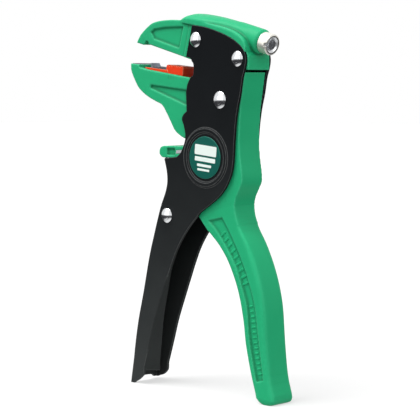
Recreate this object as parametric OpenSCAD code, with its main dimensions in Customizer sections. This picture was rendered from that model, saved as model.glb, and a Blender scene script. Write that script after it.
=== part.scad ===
// Self-adjusting duckbill cable stripper with a wire cutter and a length stop.
// X runs from the jaws to the grip, Z is up, and the marked side faces -Y.
// Outlines are drawn as [x, z] around the main pivot, and place() puts the pivot where it belongs.

/* [Frame] */
// Outer width across the two pressed cheeks
frame_w = 17.2; // [16:0.1:20]
// Thickness of the pressed sheet
sheet_t = 1.4; // [1:0.1:1.8]
// Distance of the main pivot from the middle of the tool
pivot_x = 14.25; // [12:0.05:18]
// Height of the main pivot over the ground
pivot_z = 135.6; // [134:0.1:137]
// Height of the raised ring pressed round the label
emboss_h = 0.5; // [0.3:0.1:0.8]
// Radius of the label disc
label_r = 9.65; // [8:0.05:10]
// Thickness of the label disc
label_t = 0.5; // [0.3:0.1:0.8]
// How far the folded lip of the lower handle reaches inwards at its foot
lip_reach = 11; // [6:0.5:12]
// Length of the handle's tip on the ground
tip_l = 2.4; // [2:0.1:4]

/* [Rivets] */
// Shank diameter of the main pivot rivet
pivot_d = 5; // [4:0.1:6]
// Head diameter of the main pivot rivet
pivot_head_d = 8; // [7:0.1:9]
// Shank diameter of the other rivets
rivet_d = 4; // [3:0.1:4.4]
// Head diameter of the other rivets
rivet_head_d = 7; // [6:0.1:8]
// Height of a rivet's domed head
rivet_head_h = 1.6; // [1:0.1:2]

/* [Jaws] */
// Width of the open channel inside both jaws
slot_w = 8.8; // [8:0.1:9.4]
// Slope of the slides, falling towards the back
slide_tilt = 15; // [13:0.5:17]
// Angle by which the lower jaw swings shut
jaw_close = 9.2; // [8:0.1:9.4]
// Radius of the lower jaw's ears round the pivot
ear_r = 7; // [6:0.1:7.6]
// Depth of the sunken panels in the sides of the jaws
panel_depth = 0.9; // [0.3:0.1:1.2]
// Thickness of the gripping pads at the tips
pad_t = 1.2; // [0.8:0.1:1.6]

/* [Slides and blades] */
// Distance of the drive pin from the main pivot
drive_r = 20; // [19:0.1:20.4]
// Diameter of the drive pin
drive_d = 3; // [2.4:0.1:3.2]
// Thickness of the lever's drive arm
arm_t = 4.8; // [4:0.1:5.2]
// Thickness of the stripping blades
blade_t = 1.2; // [0.8:0.1:1.6]
// Width of the length stop
stop_w = 7.6; // [6:0.1:8]
// Length of the length stop's block
stop_l = 10.9; // [8:0.1:11.2]

/* [Lever] */
// Depth of the sunken panel along the grip
grip_panel_depth = 1; // [0.4:0.1:1.4]
// Radius of the grip's long edges
grip_edge_r = 2; // [1:0.1:3]
// Thickness of the cutter blade
cutter_t = 1.5; // [1.2:0.1:1.8]

/* [Adjuster] */
// Diameter of the adjuster's barrel
barrel_d = 9.6; // [8:0.1:10.4]
// Length of the barrel outside the head
barrel_l = 5.2; // [4.6:0.1:7]
// Diameter of the adjuster's bearing stem
stem_d = 6; // [5:0.1:6.4]
// Bore of the spring chamber
chamber_d = 7.2; // [6.8:0.1:7.6]

/* [Springs] */
// Wire diameter of the handle's return spring
return_wire = 1.4; // [1:0.1:1.6]
// Wire diameter of the slide spring
slide_wire = 0.8; // [0.6:0.1:0.9]

/* [Clearances] */
// Side clearance of every part that turns between others
side_gap = 0.3; // [0.2:0.05:0.4]
// Radial clearance of a pin in its running bore
pin_gap = 0.05; // [0.03:0.01:0.08]

/* [Hidden] */

green = "#2db37a";
black = "#22252a";
steel = "#c9ccd0";
dark_steel = "#70767d";
red = "#f0401e";

half_w = frame_w/2;
inner_half = half_w - sheet_t;
moving_half = inner_half - side_gap;
slot_half = slot_w/2;
slide_half = slot_half - side_gap;
hub_half = slot_half - side_gap;
arm_half = arm_t/2;
running_bore = pivot_d + 2*pin_gap;
ground_z = -pivot_z;

// Levels across the slides (w), counted upwards from the main pivot
teeth_w = 11.3;
mouth_w = 12.6;
slide_bottom_w = 12.9;
slide_top_w = 19.6;
fork_bottom_w = 11;
fork_top_w = slide_top_w + 1.7;
arm_tip_r = 2.4;
channel_roof = slide_top_w + 0.4;
pocket_roof = drive_r + arm_tip_r + 1.2;
adjuster_w = 29.6;
key_bottom_w = adjuster_w - 4.4;
key_w = 3;

// Places along the slides (u), counted backwards from the main pivot
squeeze = 20;
drive_start = -10;
drive_at = drive_r*[sin(drive_start), cos(drive_start)];
drive_u = drive_r*sin(drive_start - slide_tilt);
drive_w = drive_r*cos(drive_start - slide_tilt);
slide_travel = drive_r*sin(drive_start + squeeze - slide_tilt) - drive_u;
fork_back_u = drive_u + 2.75;
arm_room_u = drive_u - 3.45;
saddle_u = arm_room_u + 0.3;
fin_u = [saddle_u - 3.1, saddle_u - 0.6];
tongue_end_u = -14;
tongue_u = tongue_end_u - slide_travel;
tongue_q = 15.5;
tongue_d = 3;
tongue_p = (tongue_u + tongue_q*sin(jaw_close))/cos(jaw_close);
blade_u = -52.8;
blade_p = blade_u + slide_travel - (tongue_end_u - tongue_p);
chamber_end = 3.4;
boss_end = 11.4;
seat_u = 0.4;

// Rivet and label centres round the main pivot
front_rivet_at = on_slide(-21.53, slide_top_w + 0.79 + rivet_d/2);
rear_rivet_at = [10.6, 18.3];
spring_rivet_at = [-33.6, -53.9];
label_at = [-8.9, -26.2];

// A curve through the points, with extra points between them
function between(a, b, c, d, t) =
    0.5*((2*b) + (c - a)*t + (2*a - 5*b + 4*c - d)*t*t + (3*b - a - 3*c + d)*t*t*t);
function curve(p, steps = 4) = let(last = len(p) - 1) concat(
    [for (i = [0:last - 1], s = [0:steps - 1])
        between(p[max(i - 1, 0)], p[i], p[i + 1], p[min(i + 2, last)], s/steps)],
    [p[last]]);
function arc(centre, r, from, to, steps = 12) =
    [for (s = [0:steps]) let(a = from + (to - from)*s/steps) centre + r*[cos(a), sin(a)]];
function backwards(p) = [for (i = [len(p) - 1:-1:0]) p[i]];
function normal(p, i) = let(a = p[max(i - 1, 0)], b = p[min(i + 1, len(p) - 1)], d = b - a)
    [d[1], -d[0]]/norm(d);
function beside(p, distance) = [for (i = [0:len(p) - 1]) p[i] + distance*normal(p, i)];
// How far x has come on its way from one value to another, 0 to 1
function share(x, from, to) = min(1, max(0, (x - from)/(to - from)));
// A point given along the slides (u, to the back) and across them (w, up)
function on_slide(u, w, tilt = slide_tilt) =
    [u*cos(tilt) + w*sin(tilt), w*cos(tilt) - u*sin(tilt)];
// The same for the open lower jaw, whose slot lines up with the slides when it is shut
function on_jaw(p, q) = on_slide(p, q, slide_tilt - jaw_close);

module place() { translate([pivot_x, 0, pivot_z]) children(); }
// An [x, z] outline made solid from y0 to y1
module slab(y0, y1) { translate([0, y1, 0]) rotate([90, 0, 0]) linear_extrude(y1 - y0) children(); }
// The same for outlines given in the directions of the slides and of the lower jaw
module slide_slab(y0, y1, p) { slab(y0, y1) polygon([for (q = p) on_slide(q[0], q[1])]); }
module jaw_slab(y0, y1, p) { slab(y0, y1) polygon([for (q = p) on_jaw(q[0], q[1])]); }
module cross_bore(at, d) {
    translate([at[0], 0, at[1]]) rotate([90, 0, 0]) cylinder(d = d, h = 3*frame_w, center = true, $fn = 64);
}
// A solid through rings of points, closed at both ends
module loft(rings) {
    n = len(rings[0]);
    m = len(rings);
    sides = [for (i = [0:m - 2], j = [0:n - 1]) let(k = (j + 1)%n)
        each [[i*n + j, i*n + k, (i + 1)*n + j], [i*n + k, (i + 1)*n + k, (i + 1)*n + j]]];
    ends = [[for (j = [n - 1:-1:0]) j], [for (j = [0:n - 1]) (m - 1)*n + j]];
    polyhedron([for (r = rings) each r], concat(sides, ends));
}
// A wire of diameter d bent along the points
module wire(p, d, sides = 8) {
    last = len(p) - 1;
    loft([for (i = [0:last])
        let(t = p[min(i + 1, last)] - p[max(i - 1, 0)], f = t/norm(t),
            g = abs(f[1]) > 0.9 ? [1, 0, 0] : [0, 1, 0], s = cross(g, f)/norm(cross(g, f)),
            r = cross(f, s))
        [for (j = [0:sides - 1]) let(a = -360*j/sides) p[i] + d/2*(cos(a)*s + sin(a)*r)]]);
}

// The pressed frame: two cheeks, a web along the front of the lower handle and a folded lip
toe_x = -58.2;
heel_corner = [-49.2, ground_z + 8.4];
head_top = curve([[-17.3, 33.9], [-8.6, 32.6], [1.4, 29.7], [8, 26.9], [12.9, 23.7]]);
head_back = curve([[12.9, 23.7], [14.7, 21.4], [15.5, 17.9], [14.8, 13.9], [13.5, 10], [12.2, 2.9],
    [10.6, -3.3], [9.4, -10], [8.5, -19.3], [7.6, -30], [4.8, -37.2], [0, -43.1], [-6, -47.4],
    [-12.7, -51.6]]);
handle_back = curve([[-13.9, -52.9], [-20.7, -59.9], [-26.9, -68.6], [-31.1, -77.2], [-35.5, -88.1],
    [-41.8, -103.8], [-45.2, -114.6], heel_corner]);
handle_corner = curve([heel_corner, [-49.3, ground_z + 5.8], [-50.2, ground_z + 4.1], [-53.2, ground_z + 1.7],
    [toe_x + tip_l + 0.6, ground_z + 0.7], [toe_x + tip_l, ground_z]]);
handle_front = curve([[toe_x, ground_z], [-56.1, -119.1], [-53.6, -105.2], [-50.1, -91.4],
    [-46.3, -75.1], [-43.5, -65.5], [-38.7, -50.9], [-35.2, -43], [-34, -38], [-34.4, -33], [-36, -27.4]]);
notch_edge = curve([[-27.5, -26.5], [-24.6, -24.2], [-22.3, -19.8], [-21.7, -16.3], [-22.6, -12.2],
    [-23.9, -9], [-23, -6.9], [-20.9, -5.3]]);
throat_edge = concat(curve([[-21.2, 3.2], [-20.4, 6.9], [-18.6, 9.8], [-16.8, 10.9]]),
    curve([[-16.8, 10.9], [-16.3, 14], [-16.8, 16.8], [-18.5, 18.9], [-21.2, 19.5]]));
web_top = -27.4;
arch_half = 6.2;
arch_h = 2.6;

module cheek_outline() {
    polygon(concat(head_top, head_back, handle_back, handle_corner, handle_front, notch_edge,
        throat_edge));
}
// The lip widens from nothing at its top to lip_reach, and its lower edge falls a little inwards
lip_top = -74;
lip_bottom = -128.6;
lip_fall = 1.6;
module lip() {
    lip_path = concat(handle_back, [[-49.3, -129.8], [-49.4, -131.2]]);
    intersection() {
        slab(-half_w, half_w - 2*sheet_t) polygon(concat(lip_path, backwards(beside(lip_path, sheet_t))));
        translate([-2*half_w - 60, 0, 0]) rotate([90, 0, 90]) linear_extrude(60)
            polygon([[-half_w, lip_top], [-half_w + lip_reach, lip_bottom],
                [-half_w + lip_reach, lip_bottom - lip_fall], [-half_w, lip_bottom]]);
    }
}
// The arch at the bottom of the web, which leaves the handle two tips to stand on
module foot_arch() {
    translate([toe_x - 5, 0, ground_z]) rotate([90, 0, 90]) linear_extrude(10)
        polygon(curve([[-arch_half, -0.5], [-0.84*arch_half, 0.46*arch_h], [-0.56*arch_half, 0.86*arch_h],
            [0, arch_h], [0.56*arch_half, 0.86*arch_h], [0.84*arch_half, 0.46*arch_h], [arch_half, -0.5]]));
}
// The raised ring round the label: where it starts, its sloping flanks and its flat top
ring_gap = 1.3;
ring_slope = 0.7;
ring_flat = 1.5;
module frame_channel() {
    ring_r = label_r + ring_gap;
    color(black) place() difference() {
        union() {
            slab(-half_w, -inner_half) cheek_outline();
            slab(inner_half, half_w) cheek_outline();
            slab(-half_w, half_w)
                polygon(concat(handle_front, backwards(beside(handle_front, sheet_t))));
            lip();
            translate([label_at[0], -half_w + 0.01, label_at[1]]) rotate([90, 0, 0])
                rotate_extrude($fn = 96) polygon([[ring_r, 0], [ring_r + ring_slope, emboss_h],
                    [ring_r + ring_slope + ring_flat, emboss_h], [ring_r + 2*ring_slope + ring_flat, 0]]);
        }
        cross_bore(front_rivet_at, rivet_d);
        cross_bore(rear_rivet_at, rivet_d);
        cross_bore(spring_rivet_at, rivet_d);
        cross_bore([0, 0], pivot_d);
        foot_arch();
        // The foot is cut level with the ground
        translate([toe_x - 12, -half_w - 1, ground_z - 5]) cube([40, frame_w + 2, 5]);
        // The web stops below the cutter arm
        translate([-35.99, -inner_half, web_top]) cube([3, 2*inner_half, 3]);
    }
}
module label_disc() {
    color("#146b58") place() translate([label_at[0], -half_w, label_at[1]]) rotate([90, 0, 0])
        cylinder(r = label_r, h = label_t, $fn = 96);
}

// A rivet through both cheeks with a domed head on each side
module rivet(at, d, head_d) {
    dome_r = (head_d*head_d/4 + rivet_head_h*rivet_head_h)/(2*rivet_head_h);
    dome = concat([[0, 0]], arc([0, rivet_head_h - dome_r], dome_r, acos(head_d/2/dome_r), 90, 10));
    color(steel) place() translate([at[0], 0, at[1]]) {
        rotate([90, 0, 0]) cylinder(d = d, h = frame_w, center = true, $fn = 64);
        for (side = [-1, 1]) translate([0, side*half_w, 0]) rotate([-90*side, 0, 0])
            rotate_extrude($fn = 64) polygon(dome);
    }
}
module front_rivet() { rivet(front_rivet_at, rivet_d, rivet_head_d); }
module rear_rivet() { rivet(rear_rivet_at, rivet_d, rivet_head_d); }
module pivot_rivet() { rivet([0, 0], pivot_d, pivot_head_d); }
module spring_rivet() { rivet(spring_rivet_at, rivet_d, rivet_head_d); }

// The gripping pads: length, half width, and where they start along the slides
pad_l = 4.2;
pad_half = 6;
pad_u = -59.9;
teeth = 4;
tooth_h = 0.35;
// The seat of a pad, from its base outwards in the direction side (1 is down, -1 is up)
function pad_seat(at, tilt, side) = [for (p = [[0, 0], [pad_l, 0], [pad_l, 4], [0, 4]])
    at + on_slide(p[0], -side*p[1], tilt)];
// A hardened pad with small teeth, from its base outwards
function pad_points(at, tilt, side) = let(pitch = pad_l/teeth) [for (p = concat([[0, 0]],
    [for (i = [0:teeth - 1]) each [[i*pitch, pad_t], [(i + 0.7)*pitch, pad_t - tooth_h]]],
    [[pad_l, pad_t - tooth_h], [pad_l, 0]])) at + on_slide(p[0], -side*p[1], tilt)];

// The upper jaw: a casting clamped between the cheeks, with a crown over them
jaw_rear_x = 15.9;
jaw_bottom_z = 13.4;
channel_rear_x = 6.8;
channel_front_u = blade_u - 2.3;
upper_tip = [-55.3, 26.6];
nose_top = curve([upper_tip, [-52.7, 30.3], [-47.5, 34.2], [-43.2, 36], [-36, 36.7], [-27, 36.5],
    [-17, 35.5]]);

module upper_nose_outline() {
    polygon(concat(nose_top, [[-10, 30], [-10, 16], on_slide(-25, mouth_w), on_slide(-52.4, mouth_w),
        on_slide(-52.8, mouth_w + 1.2), on_slide(-54.6, mouth_w + 1.2), on_slide(-55.2, teeth_w + 0.2)]));
}
module upper_body_outline() {
    polygon(concat([[-23.9, 19.6], [-20, 34.6]], [for (p = head_top) p + [0, 1]],
        [[15, 21.6], [jaw_rear_x, 19.6], [jaw_rear_x, jaw_bottom_z], [-1.6, jaw_bottom_z],
        on_slide(-18, mouth_w + 0.6)]));
}

// The crown: a flange over the cheeks' top edge and a ridge that narrows into the adjuster's boss.
// Its first rings round off the front, given as x, foot height, top height and half width.
crown_front = [[-27, 35.4, 36.6, 6.3], [-25.6, 35.2, 37.9, 7], [-23.4, 34.9, 38.9, 7.8],
    [-20.4, 34.4, 39.4, 8.4]];
crown_feet = concat(head_top, [for (i = [1:6]) head_back[i]]);
crown_end_x = 15.1;
function ridge_z(x) = 36.05 - 0.232*x - 0.0029*x*x;
function flange_h(x) = 1.9 + 2.1*share(x, -8, 11) - 0.9*share(x, 14.4, 15.3);
function waist(x) = let(t = share(x, -12, 2)) t*t*(3 - 2*t);
// A ring from its foot over the flange's edge and the valley up the ridge, and down again
function crown_ring(x, foot, top, half, flange, waist) = let(edge = foot + flange, base = edge + 0.3,
    ridge = half - 3*waist - 0.9*share(x, 12.9, 15.2),
    side = [[half, foot], [half, edge - 0.35*flange], [half - 0.12*waist, edge - 0.15*flange],
        [half - 0.5*waist, edge], [half - 1.2*waist, edge + 0.1],
        [half - 2.4*waist, edge + 0.15 - 0.4*waist]])
    concat([for (p = side) [x, -p[0], p[1]]],
        [for (s = [0:20]) [x, -ridge*cos(9*s), base + (top - base)*sin(9*s)]],
        [for (p = backwards(side)) [x, p[0], p[1]]]);
module crown() {
    intersection() {
        translate([-60, -half_w - 1, 0]) cube([60 + crown_end_x, frame_w + 2, 60]);
        loft(concat(
            [for (c = crown_front)
                crown_ring(c[0], c[1], c[2], c[3], min(1.9, 0.4*(c[2] - c[1])), 0)],
            [for (p = crown_feet)
                crown_ring(p[0], p[1], ridge_z(p[0]), half_w, flange_h(p[0]), waist(p[0]))]));
    }
}
module along_adjuster(u) {
    at = on_slide(u, adjuster_w);
    translate([at[0], 0, at[1]]) rotate([0, 90 + slide_tilt, 0]) children();
}
// The boss grows out of the ridge as a long round nose and narrows a little at its end
boss_r = 5.6;
module boss() {
    along_adjuster(0) rotate_extrude($fn = 96) polygon(concat([[0, -16]],
        curve([[1, -15.8], [3.4, -13.4], [4.6, -10], [5.3, -6], [boss_r, -2], [boss_r, boss_end - 1.8]]),
        arc([boss_r - 0.9, boss_end - 1.2], 0.9, 0, 60, 4), [[boss_r - 0.8, boss_end], [0, boss_end]]));
}
module channel_cut() {
    key_half = key_w/2 + side_gap;
    slab(-slot_half, slot_half) polygon([on_slide(channel_front_u, 4),
        on_slide(channel_front_u, channel_roof - 1.2), on_slide(channel_front_u + 3, channel_roof),
        on_slide(-12, channel_roof), on_slide(-12, pocket_roof), [channel_rear_x, 22.6],
        [channel_rear_x, 4]]);
    // Way of the upper slide's fin and of the spring seat's key
    slide_slab(-key_half, key_half, [[-15, 18], [-15, adjuster_w], [-4.6, adjuster_w], [-4.6, 18]]);
    slide_slab(-key_half, key_half, [[-3, key_bottom_w - 0.4], [-3, adjuster_w],
        [chamber_end - 0.3, adjuster_w], [chamber_end - 0.3, key_bottom_w - 0.4]]);
    along_adjuster(-15.4) cylinder(d = chamber_d, h = chamber_end + 15.4, $fn = 64);
    along_adjuster(chamber_end - 0.4) cylinder(d = stem_d + 2*pin_gap, h = 12, $fn = 64);
}
module upper_panel() {
    polygon([[-45.8, 31.4], [-43.6, 32.8], [-36, 33.5], [-24.6, 33.5], [-27.4, 23.6], [-43.6, 28.2]]);
}
module upper_jaw() {
    color(green) place() difference() {
        union() {
            slab(-moving_half, moving_half) upper_nose_outline();
            slab(-inner_half, inner_half) upper_body_outline();
            crown();
            boss();
        }
        channel_cut();
        for (side = [-1, 1]) translate([0, side*moving_half, 0])
            slab(-panel_depth, panel_depth) upper_panel();
        slab(-pad_half, pad_half) polygon(pad_seat(on_slide(pad_u, teeth_w + pad_t), slide_tilt, 1));
        cross_bore(front_rivet_at, rivet_d);
        cross_bore(rear_rivet_at, rivet_d);
    }
}

module upper_pad() {
    color(dark_steel) place() slab(-pad_half, pad_half)
        polygon(pad_points(on_slide(pad_u, teeth_w + pad_t), slide_tilt, 1));
}

// The upper slide with its fork for the drive pin, its notch for the tongue and its spring fin
pin_room = 0.12;
notch_room = 0.15;
fin_step = 0.3;
window_l = 7;
upper_screw_w = slide_top_w - 3.3;
module upper_slide() {
    fork_half = arm_half + side_gap;
    front_u = blade_u + blade_t/2;
    window = [slide_bottom_w + 1.7, slide_top_w - 1.8];
    color(dark_steel) place() difference() {
        union() {
            slide_slab(-slide_half, slide_half, [[front_u, slide_bottom_w], [front_u, slide_top_w],
                [saddle_u, slide_top_w], [saddle_u, fork_top_w], [fork_back_u, fork_top_w],
                [fork_back_u, fork_bottom_w], [-25.4, fork_bottom_w], [-27, slide_bottom_w]]);
            // The fin is a little thinner than the round spring plate on its top
            slide_slab(-key_w/2, key_w/2, [[fin_u[0] + fin_step, slide_bottom_w + 4],
                [fin_u[0] + fin_step, adjuster_w], [fin_u[1] - fin_step, adjuster_w],
                [fin_u[1] - fin_step, slide_bottom_w + 4]]);
            along_adjuster(fin_u[0]) cylinder(d = chamber_d - 0.6, h = fin_u[1] - fin_u[0], $fn = 48);
        }
        // Room for the drive arm between the two fork plates
        slide_slab(-fork_half, fork_half, [[arm_room_u, 0], [arm_room_u, 24], [0, 24], [0, 0]]);
        // The open slots in which the drive pin runs
        slide_slab(-half_w, half_w, [for (p = [[-1, 24], [-1, drive_w - 1.6], [1, drive_w - 1.6], [1, 24]])
            [drive_u + p[0]*(drive_d/2 + pin_room), p[1]]]);
        // The notch for the lower slide's tongue
        slide_slab(-half_w, half_w, [for (p = [[-1, 0], [-1, 17.4], [1, 17.4], [1, 0]])
            [tongue_u + p[0]*(tongue_d/2 + notch_room), p[1]]]);
        blade_screw_bore(blade_u, upper_screw_w, slide_tilt);
        // Weight-saving windows between blade and notch
        for (u = [-45, -34.5]) slide_slab(-half_w, half_w, [[u, window[0]], [u + 1.2, window[1]],
            [u + window_l, window[1]], [u + window_l, window[0]]]);
    }
}
// A blade with one bevelled edge, standing across the slides
bevel = 1.4;
module blade(u, edge, top, half, tilt, side) {
    slab(-half, half) polygon([for (p = [[-0.5, top], [0.5, top], [0.5, edge + side*bevel], [-0.5, edge]])
        on_slide(u + p[0]*blade_t, p[1], tilt)]);
}
screw_d = 2.4;
screw_l = 5;
screw_head_d = 4.2;
screw_head_h = 0.9;
screw_slot = 0.6;
module blade_screw_bore(u, w, tilt) {
    at = on_slide(u, w, tilt);
    translate([at[0], 0, at[1]]) rotate([0, 90 + tilt, 0])
        cylinder(d = screw_d, h = 2*(screw_l + blade_t/2), center = true, $fn = 32);
}
module blade_screw(u, w, tilt) {
    at = on_slide(u - blade_t/2, w, tilt);
    color(steel) place() translate([at[0], 0, at[1]]) rotate([0, 90 + tilt, 0]) {
        cylinder(d = screw_d, h = screw_l, $fn = 32);
        translate([0, 0, -screw_head_h]) difference() {
            cylinder(d = screw_head_d, h = screw_head_h, $fn = 48);
            translate([-screw_slot/2, -3, -0.1]) cube([screw_slot, 6, 0.5]);
        }
    }
}
upper_blade_half = 3.9;
module upper_blade() {
    color(steel) place() difference() {
        blade(blade_u, slide_bottom_w - 0.6, slide_top_w - 1.2, upper_blade_half, slide_tilt, 1);
        blade_screw_bore(blade_u, upper_screw_w, slide_tilt);
    }
}
module upper_blade_screw() { blade_screw(blade_u, upper_screw_w, slide_tilt); }
module slide_spring() {
    turns = 4.25;
    steps = turns*18;
    from = fin_u[1] + slide_wire/2;
    to = seat_u - slide_wire/2;
    r = chamber_d/2 - 0.2 - slide_wire/2;
    at = on_slide(0, adjuster_w);
    color("#c7a45e") place() translate([at[0], 0, at[1]]) rotate([0, slide_tilt, 0])
        wire([for (i = [0:steps]) let(a = 20*i)
            [from + (to - from)*i/steps, r*cos(a), r*sin(a)]], slide_wire);
}

// The lower jaw in its open pose
jaw_tilt = slide_tilt - jaw_close;
jaw_teeth_q = teeth_w - 0.2;
slot_floor_q = 2;
slot_front_p = -54.8;
middle_x = -13.5;
jaw_belly = curve([[-59.4, 16.6], [-59.1, 13.5], [-56.9, 9.3], [-53.9, 5.2], [-48.8, 1.7], [-43.1, -0.8],
    [-38.7, -2.5], [-35.9, -5.8], [-33.1, -10], [-30.2, -14.3], [-26.7, -16.7], [-23.9, -17.9]]);
jaw_heel = curve([[-23.9, -17.9], [-21, -15.6], [-16, -11.6], [-10, -8.6], [-4, -5.75]]);
module lower_jaw_outline() {
    polygon(concat([on_jaw(-60.8, jaw_teeth_q - 0.2)], jaw_belly, jaw_heel, [[0, 0]],
        arc([0, 0], ear_r, 90, 118, 4), [on_jaw(-21, 7.8), on_jaw(-50, 9), on_jaw(-54.9, 9.6),
        on_jaw(-55.3, jaw_teeth_q - 0.2)]));
    circle(r = ear_r, $fn = 96);
}
module lower_panel() {
    polygon([[-46.2, 5.3], [-45.9, 6.8], [-29.4, 5.1], [-22.6, 4.5], [-22.6, -2.6], [-29.8, -0.2]]);
}
// Upright ticks cut in the side of the jaw as a length scale
tick_w = 0.5;
tick_pitch = 1.7;
module scale_tick(x) { polygon([[x, 9.4], [x + tick_w, 9.4], [x + tick_w, 14], [x, 14]]); }
module lower_jaw() {
    color(green) place() difference() {
        slab(-moving_half, moving_half) lower_jaw_outline();
        slab(-slot_half, slot_half) polygon([on_jaw(slot_front_p, slot_floor_q), on_jaw(slot_front_p, 30),
            [20, 30], [20, -30], [middle_x, -30], [middle_x, on_jaw(middle_x, slot_floor_q)[1]]]);
        slab(-pad_half, pad_half) polygon(pad_seat(on_jaw(pad_u - 0.3, jaw_teeth_q - pad_t), jaw_tilt, -1));
        for (side = [-1, 1]) translate([0, side*moving_half, 0]) {
            slab(-panel_depth, panel_depth) lower_panel();
            for (i = [0:3]) slab(-0.3, 0.3) scale_tick(-34.3 + i*tick_pitch);
        }
        cross_bore([0, 0], running_bore);
    }
}
module lower_pad() {
    color(dark_steel) place() slab(-pad_half, pad_half)
        polygon(pad_points(on_jaw(pad_u - 0.3, jaw_teeth_q - pad_t), jaw_tilt, -1));
}
// The lower slide with its blade block and the round-headed tongue
lower_slide_q = [2.3, 6];
lower_screw_q = 7;
block_half = 2.8;
tongue_half = 1.6;
neck_half = 0.9;
module lower_slide() {
    front_p = blade_p + blade_t/2;
    color(dark_steel) place() difference() {
        union() {
            jaw_slab(-slide_half, slide_half, [[front_p, lower_slide_q[0]], [front_p, lower_slide_q[1]],
                [tongue_p + 2, lower_slide_q[1]], [tongue_p + 2, lower_slide_q[0]]]);
            jaw_slab(-block_half, block_half, [[front_p, 3], [front_p, 10.6], [blade_p + 4.8, 10.6],
                [blade_p + 5.4, 9.4], [blade_p + 5.4, 3]]);
            jaw_slab(-tongue_half, tongue_half, [[tongue_p - neck_half, 4], [tongue_p - neck_half, tongue_q],
                [tongue_p + neck_half, tongue_q], [tongue_p + neck_half, 4]]);
            slab(-tongue_half, tongue_half) translate(on_jaw(tongue_p, tongue_q))
                circle(d = tongue_d, $fn = 48);
        }
        blade_screw_bore(blade_p, lower_screw_q, jaw_tilt);
    }
}
module lower_blade() {
    color(steel) place() difference() {
        blade(blade_p, 12, 3, block_half, jaw_tilt, -1);
        blade_screw_bore(blade_p, lower_screw_q, jaw_tilt);
    }
}
module lower_blade_screw() { blade_screw(blade_p, lower_screw_q, jaw_tilt); }

// The red length stop: a ribbed block behind the blades with a rail on each side of them
stop_p = -39.8;
stop_top_q = 12.3;
rib_pitch = 1.7;
rail_y = 3.6;
rail_half = 0.45;
module length_stop() {
    end_p = stop_p + stop_l;
    grooves = floor((stop_l - 2.6)/rib_pitch);
    color(red) place() difference() {
        union() {
            jaw_slab(-stop_w/2, stop_w/2, [[stop_p, 6.3], [stop_p, stop_top_q - 0.6],
                [stop_p + 0.6, stop_top_q], [end_p - 0.6, stop_top_q], [end_p, stop_top_q - 0.6],
                [end_p, 6.3]]);
            for (side = [-1, 1]) translate([0, side*rail_y, 0]) jaw_slab(-rail_half, rail_half,
                [[-53.4, 7.4], [-53.9, 8], [-53.9, 9.4], [-53.4, 9.8], [stop_p + 1, 9.8],
                [stop_p + 1, 7.4]]);
        }
        for (i = [0:grooves])
            let(p = stop_p + 1.6 + rib_pitch*i, top = stop_top_q + 0.3, low = stop_top_q - 0.5)
            jaw_slab(-half_w, half_w, [[p, top], [p, low], [p + 0.7, low], [p + 0.7, top]]);
    }
}

// The lever: hub, drive arm, cutter arm and grip in one casting
hub_r = 10.5;
lever_back = curve([[13.7, 12.4], [12, 2.4], [10.9, -4.6], [10.3, -13.6], [10.2, -19.7], [10.9, -27.1],
    [12.2, -34.4], [12.3, -37.4], [10, -40.4], [7.8, -44.5], [6.9, -49.5], [9.4, -56]]);
lever_front = curve([[-14.8, -53.5], [-15, -48], [-15, -40], [-17.6, -34], [-22, -29.6], [-27, -27.1]]);
arm_top = [[-24.7, -21.6], [-21.2, -22.2], [-19.4, -23.4], [-15.4, -20], [-11.5, -15.6], [-7.5, -11.6],
    [-3, -8.6]];
module lever_outline() {
    polygon(concat([[2, 12.4]], lever_back, [[-9, -59.9]], lever_front, [[-37.6, -27.1]],
        arc([-37.6, -24.35], 2.75, 270, 90, 10), arm_top, [[2, -6]]));
}
grip_front = curve([[-14.8, -53.5], [-9, -59.9], [-2.3, -66.2], [3.7, -74.5], [9.1, -86.1], [12.3, -99.1],
    [13.6, -109], [16.4, -120.7], [19.4, -130.6]], 3);
grip_back = curve([[6.9, -47], [9.4, -56], [14.9, -63.8], [19.4, -72.2], [23, -82], [25.4, -92.5],
    [26.6, -107], [28.3, -122.4], [30.7, -131.2]], 3);
grip_foot = [[[20.2, -132.9], [30.9, -133.4]], [[21.6, -134.6], [30.4, -134.9]],
    [[23.6, ground_z], [29, ground_z]]];
// The grip stands a little proud of the lever's sides, and its edges grow round below the cheeks
grip_proud = 0.4;
function grip_ring(f, b, half, r) =
    let(mid = (f + b)/2, reach = norm(b - f)/2, along = (b - f)/norm(b - f))
    [for (q = [[1, 1, 0], [-1, 1, 90], [-1, -1, 180], [1, -1, 270]], s = [0:4])
        let(a = q[2] + 22.5*s, t = q[0]*(reach - r) + r*cos(a), y = q[1]*(half - r) + r*sin(a),
            c = mid + t*along)
        [c[0], y, c[1]]];
module grip() {
    n = len(grip_front);
    loft(concat(
        [for (i = [0:n - 1]) grip_ring(grip_front[i], grip_back[i],
            moving_half + 0.03 + (grip_proud - 0.03)*share(i, 4, 12),
            0.15 + (grip_edge_r - 0.15)*share(i, 0, 8))],
        [for (i = [0:2]) grip_ring(grip_foot[i][0], grip_foot[i][1],
            moving_half + grip_proud - 0.35*i, min(grip_edge_r, 1.6))]));
}
module grip_panel() {
    polygon(concat(
        curve([[-8.9, -54.9], [-3.5, -59.6], [3, -67.2], [8.4, -74.9], [12, -83.2], [15.2, -92.3],
            [16.5, -104.8], [18.3, -114.6], [21, -125.7]], 3),
        curve([[25, -124.6], [21.8, -104.1], [19.9, -91.7], [16.6, -82], [11.5, -71.3], [5.8, -61.6],
            [-0.2, -53]], 3)));
}
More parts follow.
